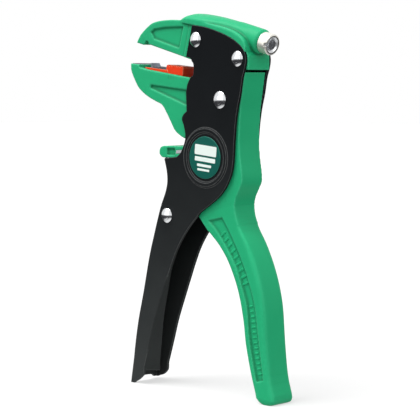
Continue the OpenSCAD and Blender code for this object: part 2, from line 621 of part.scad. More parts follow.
module handle_lever() {
    color(green) place() difference() {
        union() {
            difference() {
                slab(-moving_half, moving_half) lever_outline();
                for (side = [-1, 1]) translate([0, side*(hub_half + 5), 0]) slab(-5, 5)
                    circle(r = ear_r + 0.6, $fn = 96);
            }
            slab(-hub_half, hub_half) circle(r = hub_r, $fn = 96);
            slab(-arm_half, arm_half) {
                rotate(-drive_start) polygon([[-4, 4], [-2.3, drive_r], [2.3, drive_r], [4, 4]]);
                translate(drive_at) circle(r = arm_tip_r, $fn = 64);
            }
            grip();
        }
        for (side = [-1, 1]) {
            translate([0, side*(moving_half + grip_proud), 0])
                slab(-grip_panel_depth - grip_proud/2, grip_panel_depth) grip_panel();
            translate([0, side*moving_half, 0]) slab(-panel_depth, panel_depth)
                polygon([[-35.2, -25.8], [-35.2, -22.6], [-30, -22.6], [-30, -25.8]]);
        }
        slab(-moving_half - 1, moving_half + 1) cutter_section();
        cutter_screw_shafts(-27.2);
        cross_bore([0, 0], running_bore);
        cross_bore(drive_at, drive_d);
    }
}
module drive_pin() {
    color(steel) place() translate([drive_at[0], 0, drive_at[1]]) rotate([90, 0, 0])
        cylinder(d = drive_d, h = 2*slide_half - 0.2, center = true, $fn = 48);
}
// The cutter: its bevelled end meets the heel of the lower jaw when the lever is squeezed
cutter_top = -23.5;
module cutter_section() {
    polygon([[-29.3, cutter_top - cutter_t], [-20.6, cutter_top - cutter_t + 0.6], [-20.1, cutter_top + 1.2],
        [-22, cutter_top + 0.5], [-29.2, cutter_top]]);
}
// The screws come up from under the arm and end inside the blade
module cutter_screw_shafts(from) {
    for (y = [-3.5, 3.5]) translate([-26.5, y, from]) cylinder(d = 2, h = -24.2 - from, $fn = 32);
}
module cutter_blade() {
    color(steel) place() difference() {
        slab(-moving_half, moving_half) cutter_section();
        cutter_screw_shafts(-27.2);
    }
}
module cutter_screws() { color(steel) place() cutter_screw_shafts(-27); }

// The lever's return spring round the spring rivet, one leg on the web and one on the lever
coil_half = 3.2;
module return_spring() {
    r = rivet_d/2 + 0.35 + return_wire/2;
    turns = 3;
    from = 197;
    to = 73 - 360*turns;
    n = 64;
    c = spring_rivet_at;
    coil = [for (i = [0:n]) let(a = from + (to - from)*i/n)
        [c[0] + r*cos(a), -coil_half + 2*coil_half*i/n, c[1] + r*sin(a)]];
    web_leg = [[-45.7, -coil_half, -83.5], [-43.6, -coil_half, -75.2], [-40.5, -coil_half, -65.6]];
    lever_leg = [[-22.6, coil_half, -54.2], [-12.7, coil_half, -57.3]];
    color("#b9945a") place() wire(concat(web_leg, coil, lever_leg), return_wire);
}

// The clamping adjuster: a barrel on a screw that moves the spring's seat
seat_l = 2;
rod_d = 4;
rim_w = 1.3;
rim_r = 0.7;
barrel_floor = 1.4;
head_l = 1.5;
module adjuster_knob() {
    outer = barrel_d/2;
    inner = outer - rim_w;
    color("#d9dad6") place() along_adjuster(boss_end + 0.2) difference() {
        rotate_extrude($fn = 96) polygon(concat([[stem_d/2, 0], [outer - 0.3, 0], [outer, 0.3]],
            arc([outer - rim_r, barrel_l - rim_r], rim_r, 0, 90, 6),
            [[inner + 0.45, barrel_l], [inner + 0.45, barrel_l - 0.4], [inner + 0.2, barrel_l - 0.4],
            [inner + 0.2, barrel_l - 0.1], [inner, barrel_l - 0.1], [inner, barrel_floor],
            [stem_d/2, barrel_floor]]));
        translate([-0.8, -barrel_d, barrel_l - 1.2]) cube([1.6, barrel_d, 2]);
    }
}
module adjuster_screw() {
    head_u = boss_end + 0.2 + barrel_floor;
    color(steel) place() {
        along_adjuster(chamber_end - 0.8) cylinder(d = chamber_d - 0.6, h = 0.7, $fn = 48);
        along_adjuster(chamber_end - 0.2) cylinder(d = stem_d, h = head_u - chamber_end + 0.2, $fn = 64);
        along_adjuster(-2.6) cylinder(d = rod_d, h = 6.4, $fn = 48);
        along_adjuster(head_u - 0.1) difference() {
            cylinder(d = 4.6, h = head_l, $fn = 48);
            translate([-3, -0.4, head_l - 0.8]) cube([6, 0.8, 2]);
        }
    }
}
module spring_seat() {
    color(dark_steel) place() difference() {
        union() {
            along_adjuster(seat_u) cylinder(d = chamber_d - 0.6, h = seat_l, $fn = 48);
            slide_slab(-key_w/2, key_w/2, [[seat_u, key_bottom_w], [seat_u, adjuster_w],
                [seat_u + seat_l, adjuster_w], [seat_u + seat_l, key_bottom_w]]);
        }
        along_adjuster(seat_u - 1) cylinder(d = rod_d + 2*pin_gap, h = seat_l + 2, $fn = 48);
    }
}

frame_channel();
label_disc();
front_rivet();
rear_rivet();
pivot_rivet();
spring_rivet();
upper_jaw();
upper_pad();
upper_slide();
upper_blade();
upper_blade_screw();
slide_spring();
lower_jaw();
lower_pad();
lower_slide();
lower_blade();
lower_blade_screw();
length_stop();
handle_lever();
drive_pin();
cutter_blade();
cutter_screws();
return_spring();
adjuster_knob();
adjuster_screw();
spring_seat();
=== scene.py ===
# %% [markdown]
# # A cable stripper, dressed in Blender
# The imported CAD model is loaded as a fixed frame. Its castings, its sheet and its steel then get the
# rounded edges, the paint and the small parts that the real tool has. Every length is in metres, and
# every piece stays where the CAD says, so nothing has to be fitted.

# %% Load the frame
from functools import partial
from math import cos, hypot, pi, radians, sin, tan

import bmesh
import bpy
import numpy as np
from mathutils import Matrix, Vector


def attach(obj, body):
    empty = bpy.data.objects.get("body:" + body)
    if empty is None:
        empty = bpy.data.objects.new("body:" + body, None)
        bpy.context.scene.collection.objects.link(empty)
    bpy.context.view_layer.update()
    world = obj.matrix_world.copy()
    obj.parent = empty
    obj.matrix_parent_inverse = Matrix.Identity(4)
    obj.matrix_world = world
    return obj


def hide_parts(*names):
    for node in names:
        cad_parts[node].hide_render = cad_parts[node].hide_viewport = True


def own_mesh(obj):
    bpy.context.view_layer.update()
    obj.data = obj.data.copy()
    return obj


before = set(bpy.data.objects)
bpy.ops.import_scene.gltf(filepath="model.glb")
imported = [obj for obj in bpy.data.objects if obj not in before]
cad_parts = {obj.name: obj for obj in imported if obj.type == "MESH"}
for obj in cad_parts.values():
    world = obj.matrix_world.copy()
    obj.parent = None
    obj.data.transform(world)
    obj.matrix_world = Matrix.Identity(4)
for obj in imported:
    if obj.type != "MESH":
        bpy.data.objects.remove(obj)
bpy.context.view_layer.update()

scene = bpy.context.scene
MM = 0.001

# %% [markdown]
# ## Places on the tool
# The tool was drawn around its main pivot, with x to the back and z up, both in millimetres. One helper
# turns such a place into metres in the frame, and another follows the slides, which fall 15 degrees
# towards the back: u runs along them and w across them. The adjuster's axis lies at one w. A third puts
# a new object into the scene.

# %% Places and pieces
PIVOT_X = 14.25
PIVOT_Z = 135.6
CHEEK = 8.6
SLIDE_TILT = radians(15.0)
ADJUSTER_W = 29.6


def at(x, z, y=0.0):
    return Vector(((PIVOT_X + x) * MM, y * MM, (PIVOT_Z + z) * MM))


def along_slides(u, w):
    return (u * cos(SLIDE_TILT) + w * sin(SLIDE_TILT),
            w * cos(SLIDE_TILT) - u * sin(SLIDE_TILT))


def linked(name, data):
    """A new object in the scene."""
    thing = bpy.data.objects.new(name, data)
    scene.collection.objects.link(thing)
    return thing


print("main pivot at", [round(c, 4) for c in at(0, 0)])

# %% [markdown]
# ## Camera
# The photograph looks past the near cheek at the backs of the parts, from 43.3 degrees round and 4.5
# degrees up. A long lens far away keeps the two handles nearly parallel, as in the photograph.

# %% Camera
VIEW_AZIMUTH = radians(43.3)
VIEW_ELEVATION = radians(4.5)
VIEW_DISTANCE = 0.736
HALF_FIELD = radians(7.5)
look_at = Vector((0.00015, 0.0, 0.0848))
back = Vector((sin(VIEW_AZIMUTH) * cos(VIEW_ELEVATION),
               -cos(VIEW_AZIMUTH) * cos(VIEW_ELEVATION),
               sin(VIEW_ELEVATION)))
camera_data = bpy.data.cameras.new("camera")
camera_data.lens = camera_data.sensor_width / 2 / tan(HALF_FIELD)
camera = linked("camera", camera_data)
camera.location = look_at + VIEW_DISTANCE * back
camera.rotation_euler = back.to_track_quat("Z", "Y").to_euler()
scene.camera = camera
print("camera at", [round(c, 3) for c in camera.location])

# %% [markdown]
# ## Node helpers
# Most nodes here add, compare or blend. A helper makes one such node, and takes a plain value or another
# node's output for each of its inputs.

# %% Node helpers


def feed(tree, node, inputs):
    """Gives each of these inputs its plain value, or a link from another node's output."""
    for label, value in inputs.items():
        if isinstance(value, bpy.types.NodeSocket):
            tree.links.new(value, node.inputs[label])
        else:
            node.inputs[label].default_value = value
    return node


def new_node(tree, kind, inputs):
    return feed(tree, tree.nodes.new(kind), inputs)


def maths(tree, operation, a, b=0.0):
    node = new_node(tree, "ShaderNodeMath", {0: a, 1: b})
    node.operation = operation
    return node.outputs[0]


def blend(tree, kind, factor, a, b):
    node = tree.nodes.new("ShaderNodeMix")
    node.data_type = "RGBA"
    node.blend_type = kind
    return feed(tree, node, {"Factor": factor, "A": a, "B": b}).outputs["Result"]


def mix_shaders(tree, factor, first, second):
    return new_node(tree, "ShaderNodeMixShader", {0: factor, 1: first, 2: second}).outputs[0]


def place_in(tree):
    return tree.nodes.new("ShaderNodeTexCoord").outputs["Object"]


def split_of(tree, vector):
    return new_node(tree, "ShaderNodeSeparateXYZ", {0: vector}).outputs


def joined(tree, x, y, z):
    return new_node(tree, "ShaderNodeCombineXYZ", {"X": x, "Y": y, "Z": z}).outputs[0]


print("node helpers ready")

# %% [markdown]
# ## Floor and light
# The background is white. The world looks white to the camera and in reflections, but lights the tool
# less, so that paint keeps its written colour and the shade under each edge stays. Three wide suns stand
# for soft boxes: a strong one above, and weak ones in front and behind. The floor takes the shadow,
# throws back less than a third of the light, and adds a share of plain white for the camera.

# %% World
WHITE = (1.0, 1.0, 1.0, 1.0)
WORLD_LIGHT = 0.46
world = bpy.data.worlds.new("studio")
scene.world = world
world.use_nodes = True
tree = world.node_tree
tree.nodes.clear()


def background(strength):
    return new_node(tree, "ShaderNodeBackground", {"Color": WHITE, "Strength": strength}).outputs[0]


paths = tree.nodes.new("ShaderNodeLightPath").outputs
seen = maths(tree, "MAXIMUM", paths["Is Camera Ray"], paths["Is Glossy Ray"])
seen = maths(tree, "MAXIMUM", seen, paths["Is Transmission Ray"])
sky = mix_shaders(tree, seen, background(WORLD_LIGHT), background(1.0))
new_node(tree, "ShaderNodeOutputWorld", {"Surface": sky})
print("world lights at", WORLD_LIGHT)

# %% Suns


def soft_sun(name, towards, share, spread):
    """A sun that adds this share of white to a face turned straight at it."""
    lamp = bpy.data.lights.new(name, "SUN")
    lamp.energy = share * pi
    lamp.angle = radians(spread)
    linked(name, lamp).rotation_euler = Vector(towards).to_track_quat("Z", "Y").to_euler()


soft_sun("soft_top", (-0.25, -0.36, 0.9), 0.90, 45)
soft_sun("soft_front", (-0.3, -0.9, 0.2), 0.14, 60)
soft_sun("soft_back", (0.9, -0.3, 0.35), 0.30, 60)

# %% Floor
FLOOR_THROWS = (0.3, 0.3, 0.3, 1.0)
FLOOR_SEEN = (0.9, 0.9, 0.9, 1.0)
FLOOR_GLOW = 0.6
floor_mesh = bpy.data.meshes.new("floor")
floor_mesh.from_pydata([(-4, -4, 0), (4, -4, 0), (4, 4, 0), (-4, 4, 0)], [], [(0, 1, 2, 3)])
floor = linked("floor", floor_mesh)
white = bpy.data.materials.new("white floor")
white.use_nodes = True
tree = white.node_tree
paths = tree.nodes.new("ShaderNodeLightPath").outputs
tone = blend(tree, "MIX", paths["Is Camera Ray"], FLOOR_THROWS, FLOOR_SEEN)
shader = feed(tree, tree.nodes["Principled BSDF"], {"Roughness": 0.9, "Base Color": tone})
glow = tree.nodes.new("ShaderNodeEmission").outputs[0]
glow_share = maths(tree, "MULTIPLY", paths["Is Camera Ray"], FLOOR_GLOW)
plain_look = mix_shaders(tree, glow_share, shader.outputs[0], glow)
floor.data.materials.append(white)
print("floor is", floor.dimensions.x, "m wide")

# %% [markdown]
# Reflections show the floor too. It looks white there, as it does to the camera, up to the edge of the
# paper that such a tool stands on for its picture. Beyond that lies the darker room, up to the soft
# boxes. That dark band makes a rivet head look polished, so reflections see it as a ring on the floor.

# %% Floor in reflections
RING_IN = (0.09, 0.22)
RING_OUT = (1.4, 3.0)
RING_TONE = (0.05, 0.05, 0.055, 1.0)


def fade_in(value, limits):
    step = new_node(tree, "ShaderNodeMapRange",
                    {"Value": value, "From Min": limits[0], "From Max": limits[1]})
    step.interpolation_type = "SMOOTHSTEP"
    return step.outputs["Result"]


reach = new_node(tree, "ShaderNodeVectorMath", {0: place_in(tree)})
reach.operation = "LENGTH"
ring = maths(tree, "SUBTRACT", fade_in(reach.outputs["Value"], RING_IN),
             fade_in(reach.outputs["Value"], RING_OUT))
mirror_view = new_node(tree, "ShaderNodeEmission", {"Color": blend(tree, "MIX", ring, WHITE, RING_TONE)})
look = mix_shaders(tree, paths["Is Glossy Ray"], plain_look, mirror_view.outputs[0])
tree.links.new(look, tree.nodes["Material Output"].inputs["Surface"])
scene.view_settings.view_transform = "Standard"
print("dark ring from", RING_IN[0], "to", RING_OUT[1], "m")

# %% [markdown]
# ## Effects that finishes share
# Paint, coat, plastic and steel show the same few things at different sizes: a slow drift of tone, a fine
# grain, lines left by a tool, and paler edges, partly rubbed wear and partly a painted highlight. Each
# effect is one shader group that reads object coordinates in metres. A finish sets its own sizes on it,
# or keeps the usual ones.

# %% Group helpers


def new_group(name, ins, outs):
    group = bpy.data.node_groups.new(name, "ShaderNodeTree")
    for label, value in ins:
        socket = group.interface.new_socket(label, in_out="INPUT", socket_type="NodeSocketFloat")
        socket.default_value = value
    for label in outs:
        group.interface.new_socket(label, in_out="OUTPUT", socket_type="NodeSocketFloat")
    return group, group.nodes.new("NodeGroupInput").outputs, group.nodes.new("NodeGroupOutput")


def noise(tree, vector, scale, detail=3.0):
    inputs = {"Vector": vector, "Scale": scale, "Detail": detail}
    return new_node(tree, "ShaderNodeTexNoise", inputs).outputs[0]


def place_group(tree, group, inputs):
    node = tree.nodes.new("ShaderNodeGroup")
    node.node_tree = group
    return feed(tree, node, inputs).outputs


print("group helpers ready")

# %% Grain: a slow drift of tone and a fine height
grain_group, g_in, g_out = new_group(
    "surface grain",
    [("Patches per metre", 120.0), ("Drift", 0.1), ("Grains per metre", 2500.0)],
    ["Tone", "Height"])
place = place_in(grain_group)
drift = noise(grain_group, place, g_in["Patches per metre"])
centred = maths(grain_group, "SUBTRACT", drift, 0.5)
scaled = maths(grain_group, "MULTIPLY", centred, g_in["Drift"])
tone = maths(grain_group, "ADD", scaled, 1.0)
fine = noise(grain_group, place, g_in["Grains per metre"], 2.0)
feed(grain_group, g_out, {"Tone": tone, "Height": fine})
print("group", grain_group.name, "has", len(grain_group.nodes), "nodes")

# %% Tool lines: noise pulled long in x, as a grinding belt leaves it
line_group, g_in, g_out = new_group(
    "tool lines", [("Lines per metre", 6000.0), ("Stretch", 0.04)], ["Mask"])
split = split_of(line_group, place_in(line_group))
long_x = maths(line_group, "MULTIPLY", split["X"], g_in["Stretch"])
pulled = joined(line_group, long_x, split["Y"], split["Z"])
lines = noise(line_group, pulled, g_in["Lines per metre"], 4.0)
feed(line_group, g_out, {"Mask": lines})
print("group", line_group.name, "has", len(line_group.nodes), "nodes")

# %% Rubbed edges and painted highlight: the edge attribute, broken up by noise
SPOT_GAIN = 1.3
wear_highlight_group, g_in, g_out = new_group(
    "rubbed edges", [("Edge", 0.0), ("Spots per metre", 700.0), ("Reach", 1.0)], ["Mask"])
spots = noise(wear_highlight_group, place_in(wear_highlight_group), g_in["Spots per metre"], 4.0)
uneven = maths(wear_highlight_group, "MULTIPLY", spots, SPOT_GAIN)
strong = maths(wear_highlight_group, "MULTIPLY", g_in["Edge"], g_in["Reach"])
worn_and_lit = maths(wear_highlight_group, "MULTIPLY", strong, uneven)
feed(wear_highlight_group, g_out, {"Mask": maths(wear_highlight_group, "MINIMUM", worn_and_lit, 1.0)})
print("group", wear_highlight_group.name, "has", len(wear_highlight_group.nodes), "nodes")

# %% [markdown]
# ## Finishes
# A finish is one Principled shader. Its colour drifts a little in tone, turns paler at edges, partly as
# rubbed wear and partly as a painted highlight, and turns darker in hollows as painted shade. Its
# roughness follows the same drift, and a bump from the grain breaks up the reflections. Edges and hollows
# come as attributes that are measured or marked on each mesh further down.

# %% Finish helper


def srgb(r, g, b):
    """A colour given as it looks on the screen, in 0 to 255, as the linear values that a shader wants."""
    def one(v):
        v = v / 255.0
        return v / 12.92 if v <= 0.04045 else ((v + 0.055) / 1.055) ** 2.4
    return (one(r), one(g), one(b), 1.0)


def measured(tree, name):
    node = tree.nodes.new("ShaderNodeAttribute")
    node.attribute_name = name
    return node.outputs["Fac"]


def finish(name, colour, rough, metal=0.0, patches=120.0, drift=0.1, grains=2500.0, bump=0.1,
           specular=0.5, coat=0.0, lines=0.0, wear_and_highlight=None, reach=0.5, hollow_shade=0.0, paint=None):
    """One finish. paint(tree, colour) may return another colour socket to start from."""
    material = bpy.data.materials.new(name)
    material.use_nodes = True
    tree = material.node_tree
    grain = place_group(tree, grain_group, {"Patches per metre": patches, "Drift": drift,
                                            "Grains per metre": grains})
    first = paint(tree, colour) if paint else colour
    tinted = blend(tree, "MULTIPLY", 1.0, first, grain["Tone"])
    # Painted shade: the hollow share darkens the colour in hollows.
    if hollow_shade > 0.0:
        deep = maths(tree, "MULTIPLY", measured(tree, "hollow_shade"), hollow_shade)
        shade = maths(tree, "SUBTRACT", 1.0, deep)
        tinted = blend(tree, "MULTIPLY", 1.0, tinted, shade)
    # Partly rubbed wear, partly a painted highlight: edges turn paler towards this colour.
    if wear_and_highlight:
        wear_highlight = place_group(tree, wear_highlight_group, {"Edge": measured(tree, "edge"), "Reach": reach})
        tinted = blend(tree, "MIX", wear_highlight["Mask"], tinted, wear_and_highlight)
    height = grain["Height"]
    roughness = maths(tree, "MULTIPLY", grain["Tone"], rough)
    if lines > 0.0:
        tool = place_group(tree, line_group, {})
        lined = maths(tree, "MULTIPLY", tool["Mask"], lines)
        roughness = maths(tree, "ADD", roughness, lined)
        height = maths(tree, "ADD", height, lined)
    relief = new_node(tree, "ShaderNodeBump", {"Strength": bump, "Distance": 0.0002, "Height": height})
    feed(tree, tree.nodes["Principled BSDF"], {
        "Base Color": tinted, "Metallic": metal, "Roughness": roughness, "Specular IOR Level": specular,
        "Coat Weight": coat, "Coat Roughness": 0.2, "Normal": relief.outputs["Normal"]})
    return material


print("finish helper ready")

# %% [markdown]
# The coat of the sheet is nearly black at the head and greyer towards the foot, as a painted reflection
# of the pale floor. A map from height to a share, bent by a slow noise, fades one colour into the other.

# %% Coat that greys towards the foot
CLOUDS_PER_METRE = 45.0
CLOUD_SHIFT = 0.03
BLACK_ABOVE = 0.165
GREY_BELOW = 0.015
FADE_POWER = 1.7
PAINTED_SHEEN_GREY = srgb(54, 57, 57)


# Painted reflection: the coat turns grey towards the foot, where the pale floor would be mirrored.
def coat_with_painted_floor_sheen(tree, colour):
    place = place_in(tree)
    clouds = noise(tree, place, CLOUDS_PER_METRE, 4.0)
    shift = maths(tree, "MULTIPLY", maths(tree, "SUBTRACT", clouds, 0.5), CLOUD_SHIFT)
    level = maths(tree, "ADD", split_of(tree, place)["Z"], shift)
    fade = new_node(tree, "ShaderNodeMapRange",
                    {"Value": level, "From Min": BLACK_ABOVE, "From Max": GREY_BELOW})
    share = maths(tree, "POWER", fade.outputs["Result"], FADE_POWER)
    return blend(tree, "MIX", share, colour, PAINTED_SHEEN_GREY)


print("coat ready")

# %% [markdown]
# The clamping barrel is satin outside, but its hollow end was bored and polished, so it mirrors the
# studio and itself. The barrel's axis is the line that the adjuster turns on, so the distance from that
# line tells bore from wall. A thin dark ring round the rim's inner edge is painted shade.

# %% Bored end of the barrel
BORED_R = 3.96 * MM
BORED_U = 12.6 * MM
GROOVE_R = (3.62 * MM, 4.0 * MM)
RIM_U = 16.2 * MM


def bored_end(tree, colour):
    calc = partial(maths, tree)
    turn = tree.nodes.new("ShaderNodeMapping")
    turn.vector_type = "TEXTURE"
    feed(tree, turn, {"Vector": place_in(tree), "Location": at(*along_slides(0, ADJUSTER_W)),
                      "Rotation": (0.0, SLIDE_TILT, 0.0)})
    split = split_of(tree, turn.outputs["Vector"])
    squares = calc("ADD", calc("POWER", split["Y"], 2.0), calc("POWER", split["Z"], 2.0))
    radius = calc("SQRT", squares)
    inside = calc("LESS_THAN", radius, BORED_R)
    deep = calc("GREATER_THAN", split["X"], BORED_U)
    bored = blend(tree, "MIX", calc("MULTIPLY", inside, deep), colour, srgb(226, 228, 230))
    # Painted shade: a thin dark ring round the inner edge of the rim.
    past_bore = calc("GREATER_THAN", radius, GROOVE_R[0])
    in_groove = calc("MULTIPLY", past_bore, calc("LESS_THAN", radius, GROOVE_R[1]))
    at_rim = calc("GREATER_THAN", split["X"], RIM_U)
    return blend(tree, "MIX", calc("MULTIPLY", in_groove, at_rim), bored, srgb(58, 58, 60))


print("bored end ready")

# %% The finishes
# The paler edge colours below are partly rubbed wear and partly a painted highlight; the hollow share
# paints shade into the castings' hollows.
green_paint = finish("green casting paint", srgb(30, 174, 118), 0.45, patches=90, grains=1500,
                     bump=0.12, specular=0.16, wear_and_highlight=srgb(88, 208, 160), hollow_shade=0.62)
black_coat = finish("black sheet coat", srgb(16, 19, 22), 0.42, patches=60, drift=0.3, grains=3200,
                    bump=0.12, specular=0.05, wear_and_highlight=srgb(98, 100, 100), reach=0.8, paint=coat_with_painted_floor_sheen)
rivet_steel = finish("polished rivet steel", srgb(224, 226, 228), 0.17, metal=1.0, patches=400,
                     drift=0.08, grains=3000, bump=0.03)
bright_steel = finish("bright steel", srgb(205, 208, 212), 0.26, metal=1.0, patches=300, bump=0.04,
                      lines=0.15, wear_and_highlight=srgb(228, 230, 232))
# The blade steel is darker than the bright steel as a painted dark reflection.
blade_steel = finish("blade steel with painted dark reflection", srgb(128, 134, 146), 0.3, metal=1.0, patches=300, drift=0.12,
                     bump=0.04, lines=0.15, wear_and_highlight=srgb(214, 216, 220))
dark_steel = finish("hardened dark steel", srgb(104, 108, 114), 0.34, metal=1.0, patches=300,
                    drift=0.15, bump=0.05, lines=0.2, wear_and_highlight=srgb(176, 180, 184))
spring_steel = finish("straw spring wire", srgb(176, 144, 96), 0.3, metal=1.0, patches=500, drift=0.15,
                      grains=4000, bump=0.04)
pale_metal = finish("pale satin barrel", srgb(232, 230, 222), 0.24, metal=0.55, patches=300,
                    drift=0.06, grains=3000, bump=0.05, lines=0.1, wear_and_highlight=srgb(240, 238, 232),
                    paint=bored_end)
red_plastic = finish("red moulded plastic", srgb(255, 64, 20), 0.36, patches=200, drift=0.08,
                     grains=1800, bump=0.06, specular=0.15, wear_and_highlight=srgb(255, 176, 130), reach=0.9)
label_teal = finish("teal label film", srgb(0, 90, 78), 0.3, patches=150, drift=0.08, grains=2200,
                    bump=0.03, specular=0.12, coat=0.06, wear_and_highlight=srgb(60, 140, 120), reach=0.6)
label_print = finish("pale label print", srgb(238, 250, 244), 0.4, patches=150, drift=0.05,
                     grains=2200, bump=0.02, specular=0.25)
print("materials, with the floor and the frame:", len(bpy.data.materials))

# %% [markdown]
# ## Taking a node over
# A CAD node is loose triangles. A copy with its doubles merged and its flat faces joined again can take
# modifiers, and it then replaces the node on screen. A modifier could stay live, but a plain mesh is
# easier to measure, so each piece is settled before it is handed to the frame.

# %% Copies of CAD nodes


def copy_of(node, name):
    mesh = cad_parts[node].data.copy()
    mesh.materials.clear()
    piece = linked(name, mesh)
    shape = bmesh.new()
    shape.from_mesh(mesh)
    bmesh.ops.remove_doubles(shape, verts=shape.verts, dist=2e-6)
    bmesh.ops.dissolve_limit(shape, angle_limit=radians(0.5), verts=shape.verts, edges=shape.edges)
    for face in shape.faces:
        face.smooth = True
    shape.to_mesh(mesh)
    shape.free()
    mesh.update()
    return piece


def settle(piece):
    """Leaves the piece as its modifiers make it, as a plain mesh."""
    graph = bpy.context.evaluated_depsgraph_get()
    made = bpy.data.meshes.new_from_object(piece.evaluated_get(graph))
    piece.modifiers.clear()
    piece.data = made


def hand_over(piece, body, nodes, material):
    piece.data.materials.clear()
    piece.data.materials.append(material)
    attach(piece, body)
    if nodes:
        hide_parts(*nodes)
    print(piece.name, "rides on", body, "with", len(piece.data.polygons), "faces")


print("copy, settle and hand_over are ready")

# %% [markdown]
# ## Machined and pressed parts
# Sheet, blades and pins have crisp edges, round by two tenths of a millimetre at most. A bevel on every
# edge sharper than 32 degrees gives them. The bevel's own faces are then marked in the edge attribute, so
# that the finish can show them paler, partly as rubbed wear and partly as a painted highlight: fully
# where a face is narrow, and less where the round is wide.

# %% Crisp parts
SHARP = radians(32)
NARROW = 0.16 * MM


def read(things, what, wide=1, kind=np.float32):
    """What the points, edges, faces or corners of a mesh hold, as one array."""
    values = np.empty(len(things) * wide, kind)
    things.foreach_get(what, values)
    return values.reshape(-1, wide) if wide > 1 else values


def mark_bevels(mesh):
    sizes = read(mesh.polygons, "loop_total", kind=np.int32)
    on_bevel = read(mesh.polygons, "material_index", kind=np.int32) == 1
    places = read(mesh.vertices, "co", 3)
    a, b = read(mesh.edges, "vertices", 2, np.int32).T
    around = read(mesh.loops, "edge_index", kind=np.int32)
    lengths = np.linalg.norm(places[a] - places[b], axis=1)[around]
    starts = np.concatenate(([0], np.cumsum(sizes)[:-1]))
    narrowest = np.minimum.reduceat(lengths, starts)
    share = np.clip(NARROW / np.maximum(narrowest, 1e-6), 0.0, 1.0) ** 2 * on_bevel
    edge = mesh.attributes.new("edge", "FLOAT", "CORNER")
    edge.data.foreach_set("value", np.repeat(share.astype(np.float32), sizes))
    mesh.polygons.foreach_set("material_index", np.zeros(len(sizes), np.int32))


def bevel_edges(piece, width, method="ANGLE", segments=2):
    bevel = piece.modifiers.new("edges", "BEVEL")
    bevel.limit_method = method
    bevel.angle_limit = SHARP
    bevel.width = width * MM
    bevel.segments = segments
    bevel.miter_outer = "MITER_ARC"
    bevel.use_clamp_overlap = method == "ANGLE"
    bevel.material = 1
    even = piece.modifiers.new("normals", "WEIGHTED_NORMAL")
    even.keep_sharp = True


def crisp(node, name, body, width, material, segments=2, reshape=None):
    piece = copy_of(node, name)
    if reshape:
        reshape(piece.data)
    piece.data.materials.append(material)
    piece.data.materials.append(material)
    bevel_edges(piece, width, segments=segments)
    settle(piece)
    mark_bevels(piece.data)
    hand_over(piece, body, [node], material)


print("crisp parts ready")

# %% [markdown]
# ## Castings
# The jaws and the lever are die castings. Their edges and inner corners are all a little round, also
# where many surfaces meet, which a bevel can't give. A fine remesh turns the copy into an even skin, and
# a few rounds of smoothing draw every corner round by the same amount. The even skin also lets each
# point be measured: where its neighbours lie below it is an edge, where they lie above it is a hollow.
# Edges are painted paler, partly as wear and partly as a highlight, and hollows darker, as painted shade.
# The hollows are widened by a few points, so that the painted shade spreads round an inner corner.

# %% Edge and hollow of an even skin
SKIN_GAIN = 6.0
EVENING_ROUNDS = 2
WIDENING_ROUNDS = 3


def mark_edges_and_hollows(mesh):
    count = len(mesh.vertices)
    places = read(mesh.vertices, "co", 3)
    normals = read(mesh.vertex_normals, "vector", 3)
    a, b = read(mesh.edges, "vertices", 2, np.int32).T
    step = places[b] - places[a]
    step /= np.maximum(np.linalg.norm(step, axis=1, keepdims=True), 1e-9)
    from_a = -np.einsum("ij,ij->i", normals[a], step)
    from_b = np.einsum("ij,ij->i", normals[b], step)
    friends = np.bincount(a, minlength=count) + np.bincount(b, minlength=count)
    friends = np.maximum(friends, 1)
    bulge = np.bincount(a, from_a, count) + np.bincount(b, from_b, count)
    bulge = bulge / friends
    for turn in range(EVENING_ROUNDS):
        around = np.bincount(a, bulge[b], count) + np.bincount(b, bulge[a], count)
        bulge = 0.5 * bulge + 0.5 * around / friends
    bulge *= SKIN_GAIN
    # The hollow mask says where shade is painted.
    hollow_shade = np.clip(-2.0 * bulge, 0.0, 1.0)
    for turn in range(WIDENING_ROUNDS):
        around = np.bincount(a, hollow_shade[b], count) + np.bincount(b, hollow_shade[a], count)
        hollow_shade = np.maximum(hollow_shade * 0.9, around / friends)
    for name, value in (("edge", np.clip(bulge, 0.0, 1.0)), ("hollow_shade", hollow_shade)):
        layer = mesh.attributes.new(name, "FLOAT", "POINT")
        layer.data.foreach_set("value", value.astype(np.float32))


print("skin measuring ready")

# %% Cast parts
JAW_VOXEL = 0.33
LEVER_VOXEL = 0.38


def cast(node, name, body, voxel, ease=None):
    piece = copy_of(node, name)
    remesh = piece.modifiers.new("skin", "REMESH")
    remesh.mode = "VOXEL"
    remesh.voxel_size = voxel * MM
    remesh.use_smooth_shade = True
    soften = piece.modifiers.new("soften", "SMOOTH")
    soften.factor = 0.5
    soften.iterations = 3
    settle(piece)
    if ease:
        ease(piece)
    mark_edges_and_hollows(piece.data)
    hand_over(piece, body, [node], green_paint)


cast("upper_jaw", "upper_jaw_casting", "frame", JAW_VOXEL)
cast("lower_jaw", "lower_jaw_casting", "lower_jaw", JAW_VOXEL)

# %% [markdown]
# The back of the lever is one easy curve on the real tool. The CAD model draws it through a few points,
# which leaves flat stretches with creases between them. So the line of the back is measured on the skin,
# averaged over a few millimetres, and the skin near it is moved by the difference.

# %% Easing the back of the lever
EASE_FROM = 10 * MM
EASE_TO = 112 * MM
EASE_REACH = 2.4 * MM
MEASURE_REACH = 0.35 * MM
FADE_OUT = 6 * MM
EASE_DEPTH = 8 * MM
FACES_BACK = 0.6
MEASURED_HALF = 3 * MM
MEASURED_SKIN = 1.5 * MM
LEVEL_STEP = 0.25 * MM


def line_of(levels, heights, depths, reach):
    """The local straight-line fit of depth against height, at each level."""
    off = heights[None, :] - levels[:, None]
    pull = np.exp(-0.5 * (off / reach) ** 2)
    total = pull.sum(1)
    mean_off = (pull * off).sum(1) / total
    mean_depth = (pull * depths).sum(1) / total
    spread = (pull * off * off).sum(1) / total - mean_off ** 2
    slope = ((pull * off * depths).sum(1) / total - mean_off * mean_depth) / spread
    return mean_depth - slope * mean_off


